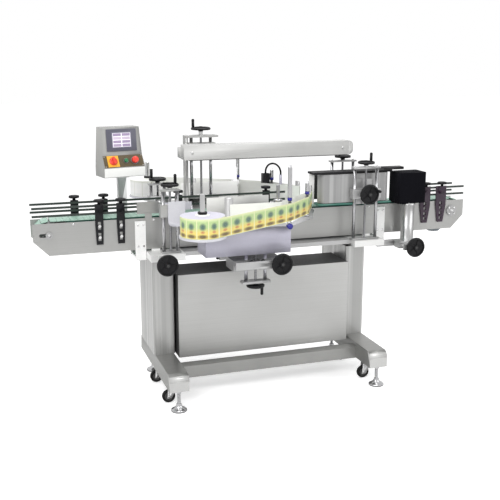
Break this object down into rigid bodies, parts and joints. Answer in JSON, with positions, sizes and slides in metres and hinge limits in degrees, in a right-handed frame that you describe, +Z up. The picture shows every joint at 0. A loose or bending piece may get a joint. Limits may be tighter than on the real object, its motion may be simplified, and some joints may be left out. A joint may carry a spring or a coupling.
{
  "type": "labelling machine",
  "caption": "Double-sided bottle labelling machine: slat conveyor on a wheeled steel cabinet, a label head on each side, top hold-down belt, wrap station and touch-screen post.",
  "frame": {"origin": "on the floor, under the middle of the conveyor", "axes": "+X along the conveyor in the way of travel, +Z up, the operator at -Y"},
  "size_m": [2.75, 1.622, 1.566],
  "materials": {
    "satin_steel": "satin",
    "white_steel": "satin",
    "bright_steel": "polished",
    "aluminium": "satin",
    "console": "satin",
    "panel": "satin",
    "black_plastic": "matte",
    "guide": "matte",
    "chain": "satin",
    "tyre": "matte",
    "module": "matte",
    "foam": "matte",
    "screen": "satin",
    "green": "gloss",
    "red": "gloss",
    "label": "gloss",
    "motor": "satin",
    "white_belt": "matte",
    "belt_unit": "satin"
  },
  "bodies": {
    "frame": {"base_frame": "satin_steel", "bridge_channels": "white_steel", "cabinet_shell": "satin_steel", "conveyor_cross_ties": "satin_steel", "conveyor_gearmotor": "motor", "conveyor_side_plates": "satin_steel", "conveyor_supports": "satin_steel", "electrical_plate": "module", "front_panel": "panel", "guide_brackets": "black_plastic", "guide_rails": "guide", "hold_frame": "aluminium", "levelling_feet": "bright_steel", "lift_units": "aluminium", "operator_box": "console", "operator_post": "satin_steel", "printer_cable": "guide", "rear_carriage": "aluminium", "rear_head": "satin_steel", "rear_label_roll": "label", "rear_web": "label", "side_columns": "satin_steel", "slat_chain": "chain", "slide_bases": "aluminium", "touch_screen": "screen"},
    "fork_front_left": {"caster_fork_front_left": "bright_steel"},
    "wheel_front_left": {"caster_wheel_front_left": "tyre"},
    "fork_rear_left": {"caster_fork_rear_left": "bright_steel"},
    "wheel_rear_left": {"caster_wheel_rear_left": "tyre"},
    "fork_front_right": {"caster_fork_front_right": "bright_steel"},
    "wheel_front_right": {"caster_wheel_front_right": "tyre"},
    "fork_rear_right": {"caster_fork_rear_right": "bright_steel"},
    "wheel_rear_right": {"caster_wheel_rear_right": "tyre"},
    "door": {"rear_door": "satin_steel"},
    "drive_shaft": {"conveyor_drive_shaft": "bright_steel"},
    "tail_shaft": {"conveyor_tail_shaft": "bright_steel"},
    "switch": {"main_switch": "red"},
    "start": {"start_button": "green"},
    "stop": {"stop_button": "red"},
    "align_lift": {"align_posts": "aluminium"},
    "align_wheel": {"align_handwheel": "black_plastic"},
    "align_slider": {"align_carriage": "aluminium"},
    "align_top": {"align_crank": "black_plastic"},
    "press_slider": {"press_carriage": "aluminium"},
    "press_top": {"press_crank": "black_plastic"},
    "press_belt_unit": {"press_unit": "belt_unit"},
    "press_wheel": {"press_handwheel": "black_plastic"},
    "hold_slider": {"hold_beam": "satin_steel", "hold_belt": "white_belt"},
    "hold_top": {"hold_crank": "black_plastic"},
    "roller_carriage": {"roller_slide": "aluminium", "foam_roller": "foam"},
    "roller_wheel": {"roller_handwheel": "black_plastic"},
    "head_saddle": {"front_carriage": "aluminium"},
    "head_wheel": {"front_handwheel": "black_plastic"},
    "label_head": {"front_head": "satin_steel", "front_web": "label"},
    "head_screw": {"front_crank": "black_plastic"},
    "label_reel": {"front_label_roll": "label"},
    "pull_roller": {"front_drive_roller": "bright_steel"}
  },
  "joints": [
    {"name": "swivel_front_left", "type": "hinge", "parent": "frame", "child": "fork_front_left", "pos_m": [-0.662, -0.385, 0.112], "axis": [0, 0, 1], "continuous": true},
    {"name": "roll_front_left", "type": "hinge", "parent": "fork_front_left", "child": "wheel_front_left", "pos_m": [-0.692, -0.385, 0.041], "axis": [0, 1, 0], "continuous": true},
    {"name": "swivel_rear_left", "type": "hinge", "parent": "frame", "child": "fork_rear_left", "pos_m": [-0.662, -0.06, 0.112], "axis": [0, 0, 1], "continuous": true},
    {"name": "roll_rear_left", "type": "hinge", "parent": "fork_rear_left", "child": "wheel_rear_left", "pos_m": [-0.692, -0.06, 0.041], "axis": [0, 1, 0], "continuous": true},
    {"name": "swivel_front_right", "type": "hinge", "parent": "frame", "child": "fork_front_right", "pos_m": [0.562, -0.385, 0.112], "axis": [0, 0, 1], "continuous": true},
    {"name": "roll_front_right", "type": "hinge", "parent": "fork_front_right", "child": "wheel_front_right", "pos_m": [0.532, -0.385, 0.041], "axis": [0, 1, 0], "continuous": true},
    {"name": "swivel_rear_right", "type": "hinge", "parent": "frame", "child": "fork_rear_right", "pos_m": [0.562, -0.06, 0.112], "axis": [0, 0, 1], "continuous": true},
    {"name": "roll_rear_right", "type": "hinge", "parent": "fork_rear_right", "child": "wheel_rear_right", "pos_m": [0.532, -0.06, 0.041], "axis": [0, 1, 0], "continuous": true},
    {"name": "door_hinge", "type": "hinge", "parent": "frame", "child": "door", "pos_m": [-0.581, 0.0413, 0.4], "axis": [0, 0, 1], "range_deg": [0, 90]},
    {"name": "drive_turn", "type": "hinge", "parent": "frame", "child": "drive_shaft", "pos_m": [1.285, 0, 0.955], "axis": [0, 1, 0], "continuous": true},
    {"name": "tail_turn", "type": "hinge", "parent": "frame", "child": "tail_shaft", "pos_m": [-1.285, 0, 0.955], "axis": [0, 1, 0], "continuous": true},
    {"name": "switch_turn", "type": "hinge", "parent": "frame", "child": "switch", "pos_m": [-0.89091, 0.05598, 1.339], "axis": [0.1827, -0.8596, 0.4771], "range_deg": [-90, 0]},
    {"name": "start_push", "type": "slide", "parent": "frame", "child": "start", "axis": [-0.1827, 0.8596, -0.4771], "range_m": [0, 0.004], "stiffness_N_per_m": 800},
    {"name": "stop_push", "type": "slide", "parent": "frame", "child": "stop", "axis": [-0.1827, 0.8596, -0.4771], "range_m": [0, 0.004], "stiffness_N_per_m": 800},
    {"name": "align_inout", "type": "slide", "parent": "frame", "child": "align_lift", "axis": [0, 1, 0], "range_m": [-0.02, 0.03]},
    {"name": "align_wheel_turn", "type": "hinge", "parent": "frame", "child": "align_wheel", "pos_m": [-0.672, -0.33, 0.798], "axis": [0, 1, 0], "range_deg": [-1100, 1500]},
    {"name": "align_height", "type": "slide", "parent": "align_lift", "child": "align_slider", "axis": [0, 0, 1], "range_m": [-0.02, 0.05]},
    {"name": "align_crank_turn", "type": "hinge", "parent": "align_lift", "child": "align_top", "pos_m": [-0.61, -0.162, 1.214], "axis": [0, 0, 1], "range_deg": [-900, 2000]},
    {"name": "press_height", "type": "slide", "parent": "frame", "child": "press_slider", "axis": [0, 0, 1], "range_m": [0, 0.03]},
    {"name": "press_crank_turn", "type": "hinge", "parent": "frame", "child": "press_top", "pos_m": [0.617, -0.172, 1.287], "axis": [0, 0, 1], "range_deg": [-100, 1300]},
    {"name": "press_inout", "type": "slide", "parent": "press_slider", "child": "press_belt_unit", "axis": [0, 1, 0], "range_m": [0, 0.01]},
    {"name": "press_wheel_turn", "type": "hinge", "parent": "press_slider", "child": "press_wheel", "pos_m": [0.617, -0.216, 1.116], "axis": [0, 1, 0], "range_deg": [-100, 500]},
    {"name": "hold_height", "type": "slide", "parent": "frame", "child": "hold_slider", "axis": [0, 0, 1], "range_m": [-0.15, 0.02]},
    {"name": "hold_crank_turn", "type": "hinge", "parent": "frame", "child": "hold_top", "pos_m": [-0.336, 0.161, 1.478], "axis": [0, 0, 1], "range_deg": [-5600, 900]},
    {"name": "roller_inout", "type": "slide", "parent": "frame", "child": "roller_carriage", "axis": [0, 1, 0], "range_m": [-0.03, 0.015]},
    {"name": "roller_wheel_turn", "type": "hinge", "parent": "frame", "child": "roller_wheel", "pos_m": [0.928, -0.254, 0.772], "axis": [0, 1, 0], "range_deg": [-1200, 700]},
    {"name": "head_inout", "type": "slide", "parent": "frame", "child": "head_saddle", "axis": [0, 1, 0], "range_m": [-0.02, 0.01]},
    {"name": "head_wheel_turn", "type": "hinge", "parent": "frame", "child": "head_wheel", "pos_m": [-0.064, -0.526, 0.805], "axis": [0, 1, 0], "range_deg": [-1200, 500]},
    {"name": "head_height", "type": "slide", "parent": "head_saddle", "child": "label_head", "axis": [0, 0, 1], "range_m": [-0.01, 0.04]},
    {"name": "head_crank_turn", "type": "hinge", "parent": "label_head", "child": "head_screw", "pos_m": [-0.191, -0.45, 0.68], "axis": [0, 0, 1], "range_deg": [-500, 1600]},
    {"name": "reel_turn", "type": "hinge", "parent": "label_head", "child": "label_reel", "pos_m": [-0.562, -0.687, 1.03], "axis": [0, 0, 1], "continuous": true},
    {"name": "pull_turn", "type": "hinge", "parent": "label_head", "child": "pull_roller", "pos_m": [-0.041, -0.4, 1.03], "axis": [0, 0, 1], "continuous": true}
  ],
  "couplings": [
    {"joint": "tail_turn", "follows": "drive_turn", "ratio": 1},
    {"joint": "align_wheel_turn", "follows": "align_inout", "rad_per_m": 628.32},
    {"joint": "align_crank_turn", "follows": "align_height", "rad_per_m": 628.32},
    {"joint": "press_crank_turn", "follows": "press_height", "rad_per_m": 628.32},
    {"joint": "press_wheel_turn", "follows": "press_inout", "rad_per_m": 628.32},
    {"joint": "hold_crank_turn", "follows": "hold_height", "rad_per_m": 628.32},
    {"joint": "roller_wheel_turn", "follows": "roller_inout", "rad_per_m": 628.32},
    {"joint": "head_wheel_turn", "follows": "head_inout", "rad_per_m": 628.32},
    {"joint": "head_crank_turn", "follows": "head_height", "rad_per_m": 628.32},
    {"joint": "pull_turn", "follows": "reel_turn", "ratio": -4.64}
  ]
}
